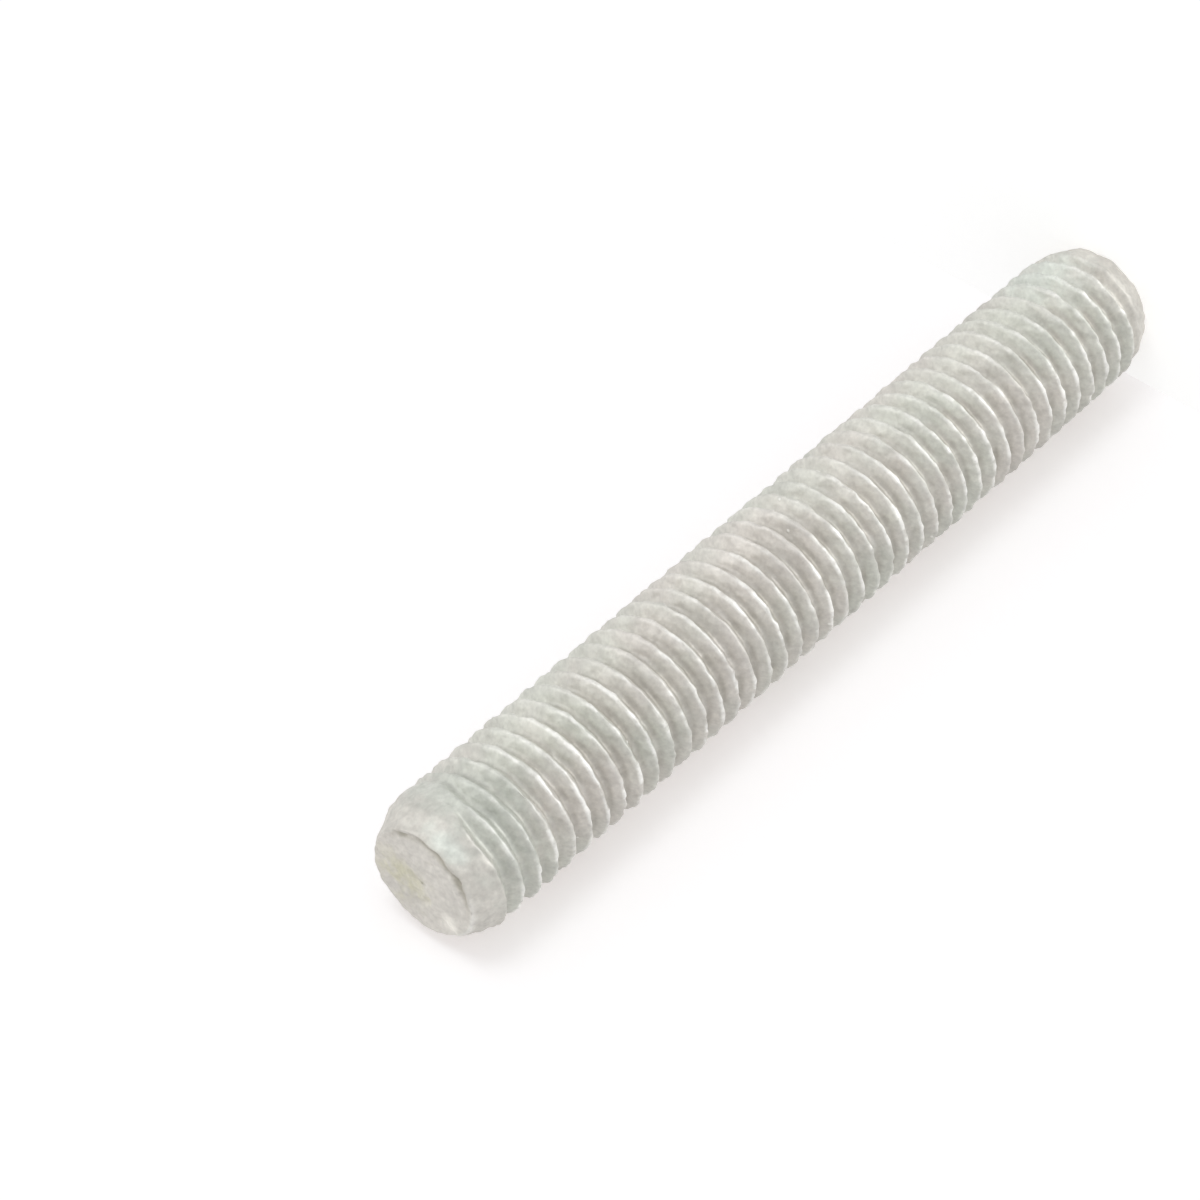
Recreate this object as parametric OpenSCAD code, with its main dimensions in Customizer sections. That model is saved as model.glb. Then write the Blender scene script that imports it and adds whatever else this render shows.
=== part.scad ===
// Stud bolt M8 x 1.25 x 55: a steel rod threaded from end to end and
// chamfered at both ends, hot-dip galvanised. It stands on its lower end
// face, with the axis along +Z and the origin at the middle of that face.

/* [Rod] */
// Major diameter of the thread, over the crests
major_d = 8; // [7:0.5:12]
// Length from end face to end face
stud_l = 55; // [25:1:80]

/* [Thread] */
// Distance between neighbouring crests
pitch = 1.25; // [1:0.05:1.5]
// Angle between the two flanks of a groove
flank_angle = 60; // [55:5:60]
// Flat left on each crest
crest_w = 0.16; // [0.1:0.01:0.25]
// Flat along the bottom of the groove
root_w = 0.21; // [0.1:0.01:0.25]
// Angle round the rod at which the groove leaves the lower end
thread_start = 120; // [0:5:355]

/* [Ends] */
// Diameter of the flat end faces, inside the chamfers
face_d = 6.3; // [5:0.1:6.9]
// Angle of the chamfers to the axis
chamfer_angle = 24; // [15:1:60]
// Length at each end that the groove leaves smooth
smooth_l = 1.5; // [0.5:0.1:3]
// Length over which the groove then deepens to full depth
runout_l = 1; // [0.5:0.1:2.5]

/* [Output] */
// Piece to draw

/* [Hidden] */
$fn = 96;

major_r = major_d / 2;
face_r = face_d / 2;
chamfer_l = (major_r - face_r) / tan(chamfer_angle);

// Groove section in the plane of the axis: the flanks run from the edges of
// the crest flats down to the flat bottom at root_r
half_angle = flank_angle / 2;
groove_w = pitch - crest_w;
groove_depth = (groove_w - root_w) / 2 / tan(half_angle);
root_r = major_r - groove_depth;

// The groove runs between the smooth ends. It is cut in short straight
// steps, whose number in a turn keeps a long stud's facets in bounds.
turns = (stud_l - 2 * smooth_l) / pitch;
steps_per_turn = max(14, min(32, floor(1120 / turns)));
steps = ceil(turns * steps_per_turn);

// The cutter's outer corners clear the crests at mid-step, and stop short
// of the turn above
clear = 0.03;
cutter_r = major_r / cos(180 / steps_per_turn) + clear;
widest = 0.99 * pitch;

// Height of the groove's middle at each step, and its bottom's radius there:
// clear of the rod at both ends of the groove, root_r once it has deepened
function height_at(step) = smooth_l + (stud_l - 2 * smooth_l) * step / steps;
function bottom_at(z) =
    let (deepened = min(z - smooth_l, stud_l - smooth_l - z, runout_l) / runout_l)
    major_r + clear / 2 - (groove_depth + clear / 2) * deepened;

// Groove section in a plane through the axis, carried up a right-hand helix
// whose line would cross the lower end face at thread_start
function section_at(step) =
    let (
        z = height_at(step),
        turned = thread_start + 360 * z / pitch,
        bottom_r = bottom_at(z),
        top_w = min(root_w + 2 * (cutter_r - bottom_r) * tan(half_angle), widest)
    )
    [
        for (corner = [
            [cutter_r, top_w / 2],
            [bottom_r, root_w / 2],
            [bottom_r, -root_w / 2],
            [cutter_r, -top_w / 2]
        ])
        [corner[0] * cos(turned), corner[0] * sin(turned), z + corner[1]]
    ];

// Solid that the section sweeps out
module groove_cutter() {
    n = 4;
    points = [for (step = [0 : steps]) each section_at(step)];
    sides = [
        for (step = [0 : steps - 1]) for (k = [0 : n - 1])
            let (a = step * n + k, b = step * n + (k + 1) % n)
            for (face = [[a, b, b + n], [a, b + n, a + n]]) face
    ];
    start = [for (k = [n - 1 : -1 : 0]) k];
    end = [for (k = [0 : n - 1]) steps * n + k];
    polyhedron(points, concat(sides, [start], [end]), convexity = 10);
}

// Rod turned to the major diameter, with both ends chamfered
module blank() {
    rotate_extrude()
        polygon([
            [0, 0],
            [face_r, 0],
            [major_r, chamfer_l],
            [major_r, stud_l - chamfer_l],
            [face_r, stud_l],
            [0, stud_l]
        ]);
}

module stud() {
    color("#CCCAC1")
        difference() {
            blank();
            groove_cutter();
        }
}

stud();
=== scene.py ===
import math
import bpy
import numpy as np
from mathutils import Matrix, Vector


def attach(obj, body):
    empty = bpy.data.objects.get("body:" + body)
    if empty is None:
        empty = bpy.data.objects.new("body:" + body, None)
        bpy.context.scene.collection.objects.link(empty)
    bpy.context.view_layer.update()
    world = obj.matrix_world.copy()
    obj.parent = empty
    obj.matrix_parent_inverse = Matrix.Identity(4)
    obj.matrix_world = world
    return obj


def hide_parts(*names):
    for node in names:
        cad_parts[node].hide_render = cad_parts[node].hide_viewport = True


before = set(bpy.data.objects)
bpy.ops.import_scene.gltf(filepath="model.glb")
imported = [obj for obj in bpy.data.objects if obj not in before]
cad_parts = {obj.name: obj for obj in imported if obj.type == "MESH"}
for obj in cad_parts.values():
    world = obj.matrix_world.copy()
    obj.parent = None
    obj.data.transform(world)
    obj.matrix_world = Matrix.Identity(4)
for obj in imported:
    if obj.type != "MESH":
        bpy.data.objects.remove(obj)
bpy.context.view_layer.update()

mm = 0.001
tiny = 1e-12                   # keeps a division from meeting zero
print("frame loaded:", sorted(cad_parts))


def linearColour(hexText):
    # each sRGB channel c: c / 12.92 when small, else ((c + 0.055) / 1.055) ^ 2.4
    channels = [int(hexText[i:i + 2], 16) / 255 for i in (1, 3, 5)]
    linear = [c / 12.92 if c <= 0.04045 else ((c + 0.055) / 1.055) ** 2.4 for c in channels]
    return (*linear, 1.0)


def addNode(tree, kind, inputs=None, out=0, **settings):
    # inputs maps a socket's name or number to a value or to the socket that feeds it; the node's
    # output named or numbered out comes back
    made = tree.nodes.new(kind)
    for name, value in settings.items():
        setattr(made, name, value)
    for key, value in (inputs or {}).items():
        if isinstance(value, bpy.types.NodeSocket):
            tree.links.new(value, made.inputs[key])
        else:
            made.inputs[key].default_value = value
    return made.outputs[out] if made.outputs else None


def emptyMaterial(name):
    material = bpy.data.materials.new(name)
    material.use_nodes = True
    material.node_tree.nodes.clear()
    return material, material.node_tree


# The stud: M8 thread from end to end, with thick zinc over it that rounds its edges. Lengths in mm,
# angles in degrees round from +X.
stud = {
    "limitRadius": 4.0,        # nothing stands further out than the bare steel's crests
    "crestRadius": 3.995,      # middle height of the uneven zinc on the crests
    "length": 55.0,

    "pitch": 1.25,
    "threadStart": 120.0,      # where the groove leaves the lower end
    "halfFlankAngle": 30.0,
    "crestFlat": 0.16,
    "grooveDepth": 0.70,
    "zincRounding": 0.13,      # how softly the zinc rounds crests and roots
    "runoutFrom": 0.8,         # the groove deepens between these distances from an end
    "runoutTo": 2.0,
    "runoutDepth": 0.06,       # share of the depth left nearer the end
    "fillSide": -60.0,         # on this side zinc fills the upper end of the groove, and the groove
    "fillReach": 2.0,          # starts this much further down
    "thickerFrom": 44.0,       # the zinc ran down and thickened in the grooves above this height
    "thickerShare": 0.22,      # share of the depth that it fills at the top

    "faceRadius": 3.18,        # flat end faces
    "rimWaves": {              # the faces' rims stray from a circle, with ahead in radians
        "oval": {"lobes": 2, "ahead": 0.6, "height": 0.04},
        "lobed": {"lobes": 5, "ahead": 0.0, "height": 0.02},
    },
    "rimBulge": 0.2,           # how far the rims stand out on one side
    "rimSide": -85.0,
    "rimReach": 35.0,
    "edgeRounding": 0.05,
    "chamferAngle": 24.0,      # to the axis
    "chamferLength": 2.0,
    "chamferBlur": 0.3,        # its look fades over this distance each way
    "chamferStop": 0.05,       # and stops at this share of the way in from the rim
    "shoulderRounding": 0.15,  # where chamfer meets thread

    "moatRadius": 2.93,        # uneven dip inside the upper face's rim
    "moatWidth": 0.2,
    "moatDepth": 0.1,
    "moatSide": -120.0,        # it is deep up to moatReach from this side, and fades over moatFade
    "moatReach": 50.0,
    "moatFade": 6.0,
    "nicks": {                 # deeper places in it
        "broad": {"side": -62.0, "reach": 18.0, "depth": 0.12},
        "narrow": {"side": -141.0, "reach": 6.0, "depth": 0.1},
    },
    "rimHighlightSide": 160.0,       # a painted highlight runs along the upper rim on this side
    "rimHighlightReach": 45.0,
    "rimHighlightWidth": 0.08,
    "shadedSide": 165.0,    # the side away from the lamps: painted shade in its grooves and more painted highlight on its crests
    "shadedFrom": -0.65,    # it counts from this cosine of the angle away from that side
    "shadedTo": 0.3,        # and counts in full from this one

    "relief": {                # uneven zinc: each field is the sum of count waves about that long
        "swell": {"wavelength": 2.2, "count": 24, "height": 0.0168},
        "lump": {"wavelength": 0.9, "count": 32, "height": 0.0112},
        "grain": {"wavelength": 0.5, "count": 40, "height": 0.01},
        "ragged": {"wavelength": 0.7, "count": 30, "height": 0.028},   # on the crests alone
        "dents": {"wavelength": 1.3, "count": 30, "height": 0.05},     # scattered knocks and runs
        "sawn": {"wavelength": 0.8, "count": 30, "height": 0.02},      # on the end faces
    },
    "dentFrom": 1.5,           # a dent is where its field is past this
    "dentEdge": 0.1,
    "sawnBelow": 1.0,          # keeps the sawn roughness mostly under the face
    "sawnEdge": 0.2,           # share of the way in from the rim at which it is whole
    "cutEdge": 0.12,           # the same for the sawn colour
    "seed": 11,

    "columns": 112,            # grid columns in a turn
    "rows": 16,                # grid rows in a pitch
    "crestCrowding": 0.07,     # rows drawn towards the crests
    "faceRun": 2.4,            # length of grid spent on each end face
    "faceCrowding": 1.4,       # power that draws its rows towards the rim
    "poleShare": 0.985,        # past this share of faceRun the grid closes in the face's middle
    "spareRun": 0.5,           # length of grid beyond the middles
    "slopeStep": 0.004,        # in mm and in radians, to either side of a point
}


def roundedPositive(x, softness):
    # (x + sqrt(x^2 + s^2)) / 2: zero well below 0, x well above, rounded between
    return 0.5 * (x + np.sqrt(x * x + softness * softness))


def softOver(x, softness):
    # s ln(1 + e^(x/s)): how far x has run past zero
    return softness * np.logaddexp(0.0, x / softness)


def smoothStep(x, low, high):
    # t^2 (3 - 2t) with t = (x - low) / (high - low), held between 0 and 1
    t = np.clip((x - low) / (high - low), 0, 1)
    return t * t * (3 - 2 * t)


def cosineFrom(turned, side):
    # cosine of the angle between turned (radians) and a side
    return np.cos(turned - math.radians(side))


def angleFrom(turned, side):
    # degrees between turned (radians) and a side, the short way round
    return np.abs((np.degrees(turned) - side + 180) % 360 - 180)


def waves(place, wavelength, count, rng):
    # sum of sin(k.p + phase) over random directions k, scaled to an even spread of about 1. Each k is
    # 2 pi / wavelength long, times something between fewest and most.
    fewest, most = 0.7, 1.4
    k = rng.normal(size=(count, 3))
    times = rng.uniform(fewest, most, (count, 1))
    k *= 2 * math.pi / wavelength / np.linalg.norm(k, axis=1)[:, None] * times
    phase = rng.uniform(0, 2 * math.pi, count)
    return np.sin(place @ k.T + phase).sum(axis=-1) / math.sqrt(count / 2)


def grooveDepthAt(turned, z, s):
    # Distance w along the axis from the groove's middle is z - pitch (turned - start) / 2pi, wrapped
    # to half a pitch. The depth is (half the groove's width - |w|) / tan(flank angle), held between
    # nothing and the full depth with both corners rounded. It fades by a smooth step towards each
    # end, where the distance from the upper end is less by fillReach cos^4 of the angle from fillSide.
    middle = s["pitch"] * (turned - math.radians(s["threadStart"])) / (2 * math.pi)
    w = np.abs((z - middle + s["pitch"] / 2) % s["pitch"] - s["pitch"] / 2)
    halfWidth = (s["pitch"] - s["crestFlat"]) / 2
    depth = (halfWidth - w) / math.tan(math.radians(s["halfFlankAngle"]))
    depth = roundedPositive(depth, s["zincRounding"])
    depth = s["grooveDepth"] - roundedPositive(s["grooveDepth"] - depth, s["zincRounding"])
    filled = s["fillReach"] * np.maximum(cosineFrom(turned, s["fillSide"]), 0) ** 4
    fromEnd = np.minimum(z, s["length"] - z - filled)
    fade = s["runoutDepth"] + (1 - s["runoutDepth"]) * smoothStep(fromEnd, s["runoutFrom"], s["runoutTo"])
    return depth * fade * (1 - s["thickerShare"] * smoothStep(z, s["thickerFrom"], s["length"]))


def rimWander(turned, s):
    # sines of lobes * turned + ahead, and a bulge e^-(angle from rimSide / rimReach)^2
    sines = [w["height"] * np.sin(w["lobes"] * turned + w["ahead"]) for w in s["rimWaves"].values()]
    return sum(sines) + s["rimBulge"] * np.exp(-(angleFrom(turned, s["rimSide"]) / s["rimReach"]) ** 2)


def studSurface(turned, run, s):
    # turned is the angle and run the distance along the outline from the lower end's rim. Between the
    # rims z = run and the radius is the smaller of thread and chamfer, rounded where they meet. Past a
    # rim z stays at the end, and the radius shrinks to nothing over faceRun, slowly at first.
    past = softOver(run - s["length"], s["edgeRounding"])
    before = softOver(-run, s["edgeRounding"])
    z = np.clip(run - past + before, 0, s["length"])
    fromEnd = np.minimum(z, s["length"] - z)
    depth = grooveDepthAt(turned, z, s)
    thread = s["crestRadius"] - depth
    wander = rimWander(turned, s)
    chamfer = s["faceRadius"] + wander + fromEnd * math.tan(math.radians(s["chamferAngle"]))
    radius = thread - roundedPositive(thread - chamfer, s["shoulderRounding"])
    inward = np.clip((past + before) / s["faceRun"], 0, 1)
    radius = radius * (1 - inward ** s["faceCrowding"])

    # The dip's depth is moatDepth / (1 + e^((angle - reach) / fade)), plus a bell for each nick, all
    # times a bell across moatRadius.
    dip = s["moatDepth"] / (1 + np.exp((angleFrom(turned, s["moatSide"]) - s["moatReach"]) / s["moatFade"]))
    for nick in s["nicks"].values():
        dip = dip + nick["depth"] * np.exp(-(angleFrom(turned, nick["side"]) / nick["reach"]) ** 2)
    dip = dip * np.exp(-((radius - s["moatRadius"] - wander) / s["moatWidth"]) ** 2)
    upper = z > s["length"] / 2
    dip = np.where(upper, dip, 0)

    # a painted highlight along the upper rim, on one side
    rimHighlightShare = np.exp(-((radius - s["faceRadius"] - wander) / s["rimHighlightWidth"]) ** 2) * upper
    rimHighlightShare = rimHighlightShare * np.exp(-(angleFrom(turned, s["rimHighlightSide"]) / s["rimHighlightReach"]) ** 4)
    pastChamfer = fromEnd - s["chamferLength"]
    onChamfer = smoothStep(pastChamfer, s["chamferBlur"], -s["chamferBlur"]) * (inward < s["chamferStop"])
    # the side away from the lamps, for painted shade in the grooves and more painted highlight on the
    # crests
    shadeCosine = cosineFrom(turned, s["shadedSide"])
    worn = {
        "groove": depth / s["grooveDepth"],
        "cut": smoothStep(inward, 0.0, s["cutEdge"]),
        "chamfer": onChamfer,
        # painted shade in the dip
        "moat": np.clip(dip / s["moatDepth"], 0, 1),
        "rim": rimHighlightShare,
        "shaded": smoothStep(shadeCosine, s["shadedFrom"], s["shadedTo"]),
    }
    return np.stack([radius * np.cos(turned), radius * np.sin(turned), z - dip], axis=-1), worn, inward


def zincLift(place, worn, inward, s):
    # height of the uneven zinc: the sum of the relief's fields, each times its height
    rng = np.random.default_rng(s["seed"])
    field = {}
    for name, relief in s["relief"].items():
        field[name] = waves(place, relief["wavelength"], relief["count"], rng)
    field["ragged"] *= (1 - worn["groove"]) ** 3
    field["dents"] = -roundedPositive(field["dents"] - s["dentFrom"], s["dentEdge"])
    field["sawn"] = (field["sawn"] - s["sawnBelow"]) * smoothStep(inward, 0.0, s["sawnEdge"])
    return sum(relief["height"] * field[name] for name, relief in s["relief"].items())


def makeStud(s):
    # A strip of columns wound up a helix: column c stands at 2 pi c / n and rises a pitch in n columns,
    # so its last row meets the first row of the column one turn later.
    n, m = s["columns"], s["rows"]
    overrun = s["faceRun"] + s["pitch"] + s["spareRun"]
    columns = math.ceil((s["length"] + 2 * overrun) / s["pitch"] * n)
    column = np.arange(columns)[:, None]
    u = (np.arange(m)[None, :] / m - 0.5) * s["pitch"]
    w = u + s["crestCrowding"] * np.sin(2 * math.pi * u / s["pitch"])
    turned = 2 * math.pi * (column / n - overrun / s["pitch"]) + math.radians(s["threadStart"]) + 0 * w
    run = s["pitch"] * column / n - overrun + w

    # the normal is the cross product of the slopes along the turn and along the outline
    place, worn, inward = studSurface(turned, run, s)
    step = s["slopeStep"]
    alongTurn = studSurface(turned + step, run, s)[0] - studSurface(turned - step, run, s)[0]
    alongRun = studSurface(turned, run + step, s)[0] - studSurface(turned, run - step, s)[0]
    normal = np.cross(alongTurn, alongRun)
    normal /= np.maximum(np.linalg.norm(normal, axis=-1, keepdims=True), tiny)
    place = place + normal * zincLift(place, worn, inward, s)[..., None]

    # the zinc is pressed flat where it would stand out past an end or the crests of the bare steel
    place[..., 2] = np.clip(place[..., 2], 0, s["length"])
    radius = np.hypot(place[..., 0], place[..., 1])
    place[..., :2] *= np.minimum(1, s["limitRadius"] / np.maximum(radius, tiny))[..., None]

    # quads between neighbouring columns, without the top row of the last turn, which meets no other
    index = np.arange(columns * m).reshape(columns, m)
    above = np.concatenate([index[:, 1:], np.roll(index[:, :1], -n, axis=0)], axis=1)
    quads = np.stack([index[:-1], index[1:], above[1:], above[:-1]], axis=-1)
    whole = np.ones((columns - 1, m), bool)
    whole[columns - 1 - n:, m - 1] = False
    quads = quads[whole]
    triangles = np.concatenate([quads[:, [0, 1, 2]], quads[:, [0, 2, 3]]])

    # what runs past an end face's middle is drawn together in one vertex there
    beyond = s["faceRun"] * s["poleShare"]
    low, high = run.ravel() < -beyond, run.ravel() > s["length"] + beyond
    lowPole, highPole = np.flatnonzero(low)[0], np.flatnonzero(high)[0]
    verts = place.reshape(-1, 3)
    verts[lowPole] = (0, 0, 0)
    verts[highPole] = (0, 0, s["length"] - s["relief"]["sawn"]["height"])
    target = np.arange(len(verts))
    target[low], target[high] = lowPole, highPole
    triangles = target[triangles]
    a, b, c = triangles.T
    triangles = triangles[(a != b) & (b != c) & (a != c)]
    used, triangles = np.unique(triangles, return_inverse=True)
    worn = {name: share.ravel()[used] for name, share in worn.items()}
    return verts[used] * mm, triangles.reshape(-1, 3), worn


def meshObject(name, verts, faces):
    mesh = bpy.data.meshes.new(name)
    mesh.vertices.add(len(verts))
    mesh.vertices.foreach_set("co", verts.astype(np.float32).ravel())
    sides = faces.shape[1]
    mesh.loops.add(faces.size)
    mesh.loops.foreach_set("vertex_index", faces.astype(np.int32).ravel())
    mesh.polygons.add(len(faces))
    mesh.polygons.foreach_set("loop_start", np.arange(0, faces.size, sides, dtype=np.int32))
    mesh.update(calc_edges=True)
    mesh.validate()
    made = bpy.data.objects.new(name, mesh)
    bpy.context.scene.collection.objects.link(made)
    return made


verts, faces, worn = makeStud(stud)
studPiece = meshObject("galvanised_stud", verts, faces)
studPiece.data.polygons.foreach_set("use_smooth", np.ones(len(faces), bool))
for name, share in worn.items():
    attribute = studPiece.data.attributes.new(name, "FLOAT", "POINT")
    attribute.data.foreach_set("value", share.astype(np.float32))
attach(studPiece, "root")
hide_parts("stud")
print("stud:", len(faces), "triangles")


# Hot-dip galvanised steel, drained and left to weather: dull pale grey zinc. Sizes in mm.
zinc = {
    "base": "#D0D1C9",
    "metallic": 0.4,           # the weathered skin hides part of the metal
    "roughness": 0.45,         # at its least
    "roughnessSwing": 0.2,     # and how much more in its roughest blots
    "grains": {                # size of each noise's blots
        "tint": 6.0,
        "patch": 2.4,
        "mottle": 1.3,
        "blot": 0.7,
        "grit": 0.4,
        "frost": 0.22,         # finer on real zinc, and drawn as coarse as it needs to show
    },
    "grainDetail": 3.0,
    "swings": {                # from darkest to lightest in each noise, as a share of the colour
        "patch": 0.22,
        "mottle": 0.34,
        "grit": 0.3,
        "frost": 0.34,
    },
    "dots": {                  # random points, in a share of the cells
        "pits": {"spacing": 4.0, "radius": 0.12, "share": 0.4},
        "beads": {"spacing": 2.1, "radius": 0.12, "share": 0.45},
    },
    "dotCore": 0.4,            # share of the radius inside which a dot is whole
    "grainHeight": 0.018,      # of frost and grit
    "cutHeight": 0.03,         # more grit on the end faces
    "dotHeight": 0.02,         # beads stand up and pits go down
    "patches": {               # their reach is divided by squash along each axis
        "stainAt": {"middle": (1.35, 0.6, 55.0), "reach": 2.3, "squash": (1.0, 1.0, 1.0)},
        "bloomAt": {"middle": (-1.1, -3.15, 54.4), "reach": 1.1, "squash": (0.55, 0.8, 1.3)},
        "dulledAt": {"middle": (-0.4, -1.8, 51.7), "reach": 3.0, "squash": (0.5, 0.5, 0.85)},
        "lowerBloomAt": {"middle": (1.9, -3.3, 3.5), "reach": 2.8, "squash": (0.8, 0.8, 0.8)},
        "fleckAt": {"middle": (-1.75, 1.6, 55.0), "reach": 0.6, "squash": (0.8, 0.75, 1.0)},
    },
    "patchRagged": 0.8,        # share of a patch's reach by which its edge wanders
    "patchNone": 1.4,          # share of its reach where it starts
    "patchFull": 0.6,          # and where it is full
    "masks": {                 # values of a noise or a share of wear that give nothing and all
        "pinkBlots": {"field": "tint", "none": 0.35, "full": 0.65},
        "onCrest": {"field": "groove", "none": 0.22, "full": 0.03},
        "crestBroken": {"field": "blot", "none": 0.38, "full": 0.56},
        "crestKept": {"field": "patch", "none": 0.36, "full": 0.56},
        # painted highlight on the crests and painted shade in the grooves, most on the side away from the
        # lamps
        "crestHighlightSide": {"field": "shaded", "none": -0.4, "full": 1.0},
        "inGroove": {"field": "groove", "none": 0.5, "full": 1.0},
        "grooveBroken": {"field": "mottle", "none": 0.2, "full": 0.7},
        "stainBroken": {"field": "mottle", "none": 0.36, "full": 0.58},
        "moatBroken": {"field": "mottle", "none": 0.3, "full": 0.56},
    },
    "layers": {                # laid on in this order, each at its cover times all its fields
        "pinkish": {"colour": "#D4D0CA", "cover": 1.0, "fields": ("pinkBlots",)},
        # paler along the crests: rubbed zinc, with more painted highlight on the side away from the lamps;
        # painted shade in the grooves on that side
        "rubbedCrestAndHighlight": {"colour": "#F0EFEB", "cover": 1.0,
                        "fields": ("onCrest", "crestBroken", "crestKept", "crestHighlightSide", "offCut")},
        "grooveShade": {"colour": "#AFABA3", "cover": 1.0,
                        "fields": ("inGroove", "grooveBroken", "shaded")},
        "chamfer": {"colour": "#CECBC4", "cover": 1.0, "fields": ("chamfer",)},
        "sawn": {"colour": "#D2CEC7", "cover": 0.85, "fields": ("cut",)},
        # greyer across the upper turns, and white bloom on the upper chamfer and near the lower end
        "dulled": {"colour": "#BFC2BA", "cover": 0.9, "fields": ("dulledAt", "offCut")},
        "bloom": {"colour": "#D4D8D1", "cover": 0.9, "fields": ("bloomAt", "offCut")},
        "lowerBloom": {"colour": "#D4D8D1", "cover": 0.9, "fields": ("lowerBloomAt", "offCut")},
        # on the upper face a yellow-green stain, a pale scrape, a painted highlight along the rim and
        # painted shade in the dip
        "stain": {"colour": "#CAC7B3", "cover": 1.0, "fields": ("stainAt", "stainBroken", "cut")},
        "fleck": {"colour": "#EFECE4", "cover": 0.8, "fields": ("fleckAt", "cut")},
        "rimHighlight": {"colour": "#EDEBE6", "cover": 0.8, "fields": ("rim",)},
        "dipShade": {"colour": "#A8A498", "cover": 1.0, "fields": ("moat", "moatBroken")},
        "pits": {"colour": "#ABA89F", "cover": 1.0, "fields": ("pits",)},
        "beads": {"colour": "#EEEDE8", "cover": 1.0, "fields": ("beads",)},
    },
}


def hotDippedZinc(z):
    # Dip-coated zinc gone matt: no spangle, a soft sheen, slow faint tints, a fine frosty speckle with
    # a few pits and pale beads, rubbed crests, and a stained, sawn upper face; with painted highlight
    # on the crests and painted shade in the grooves on the side away from the lamps, a painted
    # highlight along the upper rim and painted shade in the dip inside it.
    material, tree = emptyMaterial("hot_dipped_zinc_weathered_matt")
    where = addNode(tree, "ShaderNodeTexCoord", out="Object")
    field = {name: addNode(tree, "ShaderNodeAttribute", out="Fac", attribute_name=name) for name in worn}
    field["offCut"] = addNode(tree, "ShaderNodeMath", {0: 1.0, 1: field["cut"]}, operation="SUBTRACT")
    for name, size in z["grains"].items():
        inputs = {"Vector": where, "Scale": 1 / (size * mm), "Detail": z["grainDetail"]}
        field[name] = addNode(tree, "ShaderNodeTexNoise", inputs, "Fac")

    # a dot is whole at its cell's random point and gone at its radius, and only some cells have one
    for name, dot in z["dots"].items():
        inputs = {"Vector": where, "Scale": 1 / (dot["spacing"] * mm)}
        cells = addNode(tree, "ShaderNodeTexVoronoi", inputs, "Color").node
        inputs = {0: cells.outputs["Color"], 1: dot["share"]}
        some = addNode(tree, "ShaderNodeMath", inputs, operation="LESS_THAN")
        edge = dot["radius"] / dot["spacing"]
        inputs = {"Value": cells.outputs["Distance"], "From Min": edge, "From Max": z["dotCore"] * edge}
        spot = addNode(tree, "ShaderNodeMapRange", inputs, "Result", interpolation_type="SMOOTHSTEP")
        field[name] = addNode(tree, "ShaderNodeMath", {0: some, 1: spot}, operation="MULTIPLY")

    # distance from each patch's middle, squashed, plus noise that makes its edge ragged
    masks = dict(z["masks"])
    for name, patch in z["patches"].items():
        middle = [c * mm for c in patch["middle"]]
        reach = patch["reach"] * mm
        apart = addNode(tree, "ShaderNodeVectorMath", {0: where, 1: middle}, operation="SUBTRACT")
        apart = addNode(tree, "ShaderNodeVectorMath", {0: apart, 1: patch["squash"]}, operation="MULTIPLY")
        apart = addNode(tree, "ShaderNodeVectorMath", {0: apart}, "Value", operation="LENGTH")
        inputs = {0: field["blot"], 1: z["patchRagged"] * reach, 2: apart}
        apart = addNode(tree, "ShaderNodeMath", inputs, operation="MULTIPLY_ADD")
        field[name + "Apart"] = apart
        none, full = reach * z["patchNone"], reach * z["patchFull"]
        masks[name] = {"field": name + "Apart", "none": none, "full": full}

    for name, mask in masks.items():
        inputs = {"Value": field[mask["field"]], "From Min": mask["none"], "From Max": mask["full"]}
        field[name] = addNode(tree, "ShaderNodeMapRange", inputs, "Result", interpolation_type="SMOOTHSTEP")

    colour = linearColour(z["base"])
    for layer in z["layers"].values():
        cover = layer["cover"]
        for name in layer["fields"]:
            cover = addNode(tree, "ShaderNodeMath", {0: cover, 1: field[name]}, operation="MULTIPLY")
        inputs = {0: cover, 6: colour, 7: linearColour(layer["colour"])}
        colour = addNode(tree, "ShaderNodeMix", inputs, 2, data_type="RGBA")

    # lighter and darker about the layers' colour
    for name, swing in z["swings"].items():
        inputs = {0: field[name], 1: swing, 2: 1 - swing / 2}
        tone = addNode(tree, "ShaderNodeMath", inputs, operation="MULTIPLY_ADD")
        colour = addNode(tree, "ShaderNodeVectorMath", {0: colour, 1: tone}, operation="MULTIPLY")

    # heights are summed in multiples of grainHeight, which the bump's distance gives back
    cutGrit = addNode(tree, "ShaderNodeMath", {0: field["grit"], 1: field["cut"]}, operation="MULTIPLY")
    height = field["frost"]
    for value, depth in ((cutGrit, z["cutHeight"]), (field["grit"], z["grainHeight"]),
                         (field["beads"], z["dotHeight"]), (field["pits"], -z["dotHeight"])):
        inputs = {0: value, 1: depth / z["grainHeight"], 2: height}
        height = addNode(tree, "ShaderNodeMath", inputs, operation="MULTIPLY_ADD")
    bump = addNode(tree, "ShaderNodeBump", {"Height": height, "Distance": z["grainHeight"] * mm}, "Normal")

    inputs = {0: field["mottle"], 1: z["roughnessSwing"], 2: z["roughness"]}
    rough = addNode(tree, "ShaderNodeMath", inputs, operation="MULTIPLY_ADD")
    inputs = {"Base Color": colour, "Metallic": z["metallic"], "Roughness": rough, "Normal": bump}
    surface = addNode(tree, "ShaderNodeBsdfPrincipled", inputs)
    addNode(tree, "ShaderNodeOutputMaterial", {"Surface": surface})
    return material


studPiece.data.materials.append(hotDippedZinc(zinc))
print("zinc finished")


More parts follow.
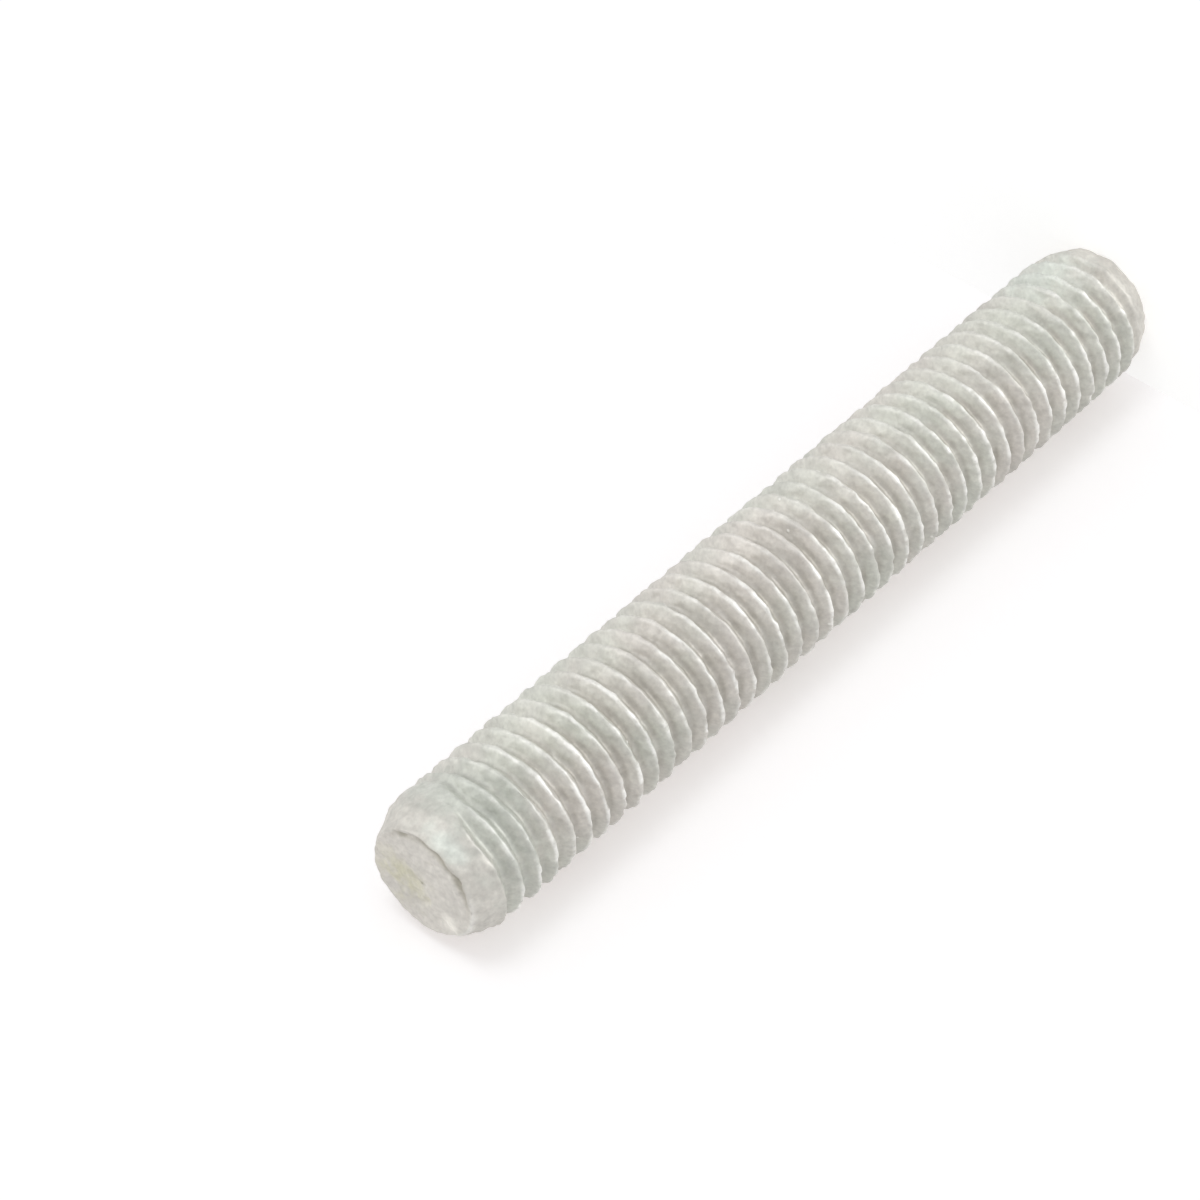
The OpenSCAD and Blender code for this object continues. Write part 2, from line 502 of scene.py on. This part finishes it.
# The stud stands on a floor, in front of an upright sheet that its crests touch. Sizes in mm.
stage = {
    "size": 600.0,             # of the floor, and the sheet is half as high
    "backdropAt": 4.0,         # behind the axis
    "shadowed": (0.93, 0.98, 1.0),   # what takes shadow: least of the red, for a warm shadow
    "glow": {                  # what each surface adds by itself, up to white
        "floor": (0.347, 0.312, 0.3),
        "backdrop": (0.294, 0.244, 0.237),
    },
}


def seenStraight(tree):
    # one for the camera's rays, reflections and what is seen through glass, zero for other rays
    seen = 0.0
    for ray in ("Is Camera Ray", "Is Glossy Ray", "Is Transmission Ray"):
        path = addNode(tree, "ShaderNodeLightPath", out=ray)
        seen = addNode(tree, "ShaderNodeMath", {0: seen, 1: path}, operation="MAXIMUM")
    return seen


def paleSurface(name, glow, shadowed):
    # white to the camera and in reflections, darkened by shadows; nothing from its back or to other rays
    material, tree = emptyMaterial(name)
    back = addNode(tree, "ShaderNodeNewGeometry", out="Backfacing")
    front = addNode(tree, "ShaderNodeMath", {0: 1.0, 1: back}, operation="SUBTRACT")
    shown = addNode(tree, "ShaderNodeMath", {0: seenStraight(tree), 1: front}, operation="MULTIPLY")
    diffuse = addNode(tree, "ShaderNodeBsdfDiffuse", {"Color": (*shadowed, 1.0)})
    shine = addNode(tree, "ShaderNodeEmission", {"Color": (*glow, 1.0), "Strength": 1.0})
    both = addNode(tree, "ShaderNodeAddShader", {0: diffuse, 1: shine})
    clear = addNode(tree, "ShaderNodeBsdfTransparent")
    mixed = addNode(tree, "ShaderNodeMixShader", {0: shown, 1: clear, 2: both})
    addNode(tree, "ShaderNodeOutputMaterial", {"Surface": mixed})
    return material


half = stage["size"] / 2
wall = stage["backdropAt"]
corners = {
    "floor": [[-half, -half, 0], [half, -half, 0], [half, half, 0], [-half, half, 0]],
    "backdrop": [[-half, wall, 0], [half, wall, 0], [half, wall, half], [-half, wall, half]],
}
stagePieces = []
for name, glow in stage["glow"].items():
    piece = meshObject(name, np.array(corners[name]) * mm, np.array([[0, 1, 2, 3]]))
    piece.data.materials.append(paleSurface("pale_" + name, glow, stage["shadowed"]))
    piece.visible_shadow = False
    piece.visible_diffuse = False
    stagePieces.append(piece)


# Even light from all round, and four soft lamps. Key and fill stand above and beside the stud and the
# glint low on its far side, where it draws the bright lines along the crests; these light the stud
# alone. The wash lights floor and backdrop, where it throws the stud's shadow. Places in mm, powers in
# watts.
light = {
    "sky": 0.69,
    "seenSky": 1.0,            # white behind everything and in reflections
    "aim": (0.0, 0.0, 27.5),
    "lamps": {
        "key": {"place": (174.0, -122.0, 240.0), "size": 190.0, "power": 0.145, "lights": "stud"},
        "fill": {"place": (110.0, -235.0, 177.0), "size": 190.0, "power": 0.12, "lights": "stud"},
        "glint": {"place": (-190.0, -170.0, -127.0), "size": 110.0, "power": 0.32, "lights": "stud"},
        "wash": {"place": (40.0, -287.0, 105.0), "size": 120.0, "power": 0.118, "lights": "stage"},
    },
}


def aimedAt(place, aim):
    # rotation that turns -Z from place towards aim
    return (Vector(aim) - Vector(place)).to_track_quat("-Z", "Y").to_euler()


litPieces = {"stud": [studPiece], "stage": stagePieces}
for name, lamp in light["lamps"].items():
    lampData = bpy.data.lights.new(name, "AREA")
    lampData.shape = "DISK"
    lampData.size = lamp["size"] * mm
    lampData.energy = lamp["power"]
    lampPiece = bpy.data.objects.new(name, lampData)
    lampPiece.location = [c * mm for c in lamp["place"]]
    lampPiece.rotation_euler = aimedAt(lamp["place"], light["aim"])
    lampPiece.visible_camera = False
    bpy.context.scene.collection.objects.link(lampPiece)
    lit = bpy.data.collections.new(name + "_lights")
    for piece in litPieces[lamp["lights"]]:
        lit.objects.link(piece)
    lampPiece.light_linking.receiver_collection = lit

world = bpy.data.worlds.new("studio")
world.use_nodes = True
sky = world.node_tree
sky.nodes.clear()
even = addNode(sky, "ShaderNodeBackground", {"Color": (1, 1, 1, 1), "Strength": light["sky"]})
seen = addNode(sky, "ShaderNodeBackground", {"Color": (1, 1, 1, 1), "Strength": light["seenSky"]})
mixed = addNode(sky, "ShaderNodeMixShader", {0: seenStraight(sky), 1: even, 2: seen})
addNode(sky, "ShaderNodeOutputWorld", {"Surface": mixed})
bpy.context.scene.world = world


# The stud lies across the view, with its upper end nearer. Lengths in mm, angles in degrees.
view = {
    "place": (-86.489, -149.308, 141.615),
    "turn": (-46.6554, 40.9517, 180.0),
    "lens": 120.0,
    "sensor": 36.0,
    "nearest": 5.0,
    "furthest": 10000.0,
}
cameraData = bpy.data.cameras.new("camera")
cameraData.sensor_width = view["sensor"]
cameraData.sensor_fit = "HORIZONTAL"
cameraData.lens = view["lens"]
cameraData.clip_start = view["nearest"] * mm
cameraData.clip_end = view["furthest"] * mm
camera = bpy.data.objects.new("camera", cameraData)
camera.location = [c * mm for c in view["place"]]
camera.rotation_euler = [math.radians(a) for a in view["turn"]]
bpy.context.scene.collection.objects.link(camera)
bpy.context.scene.camera = camera
bpy.context.scene.view_settings.view_transform = "Standard"
print("stage, light and camera set")
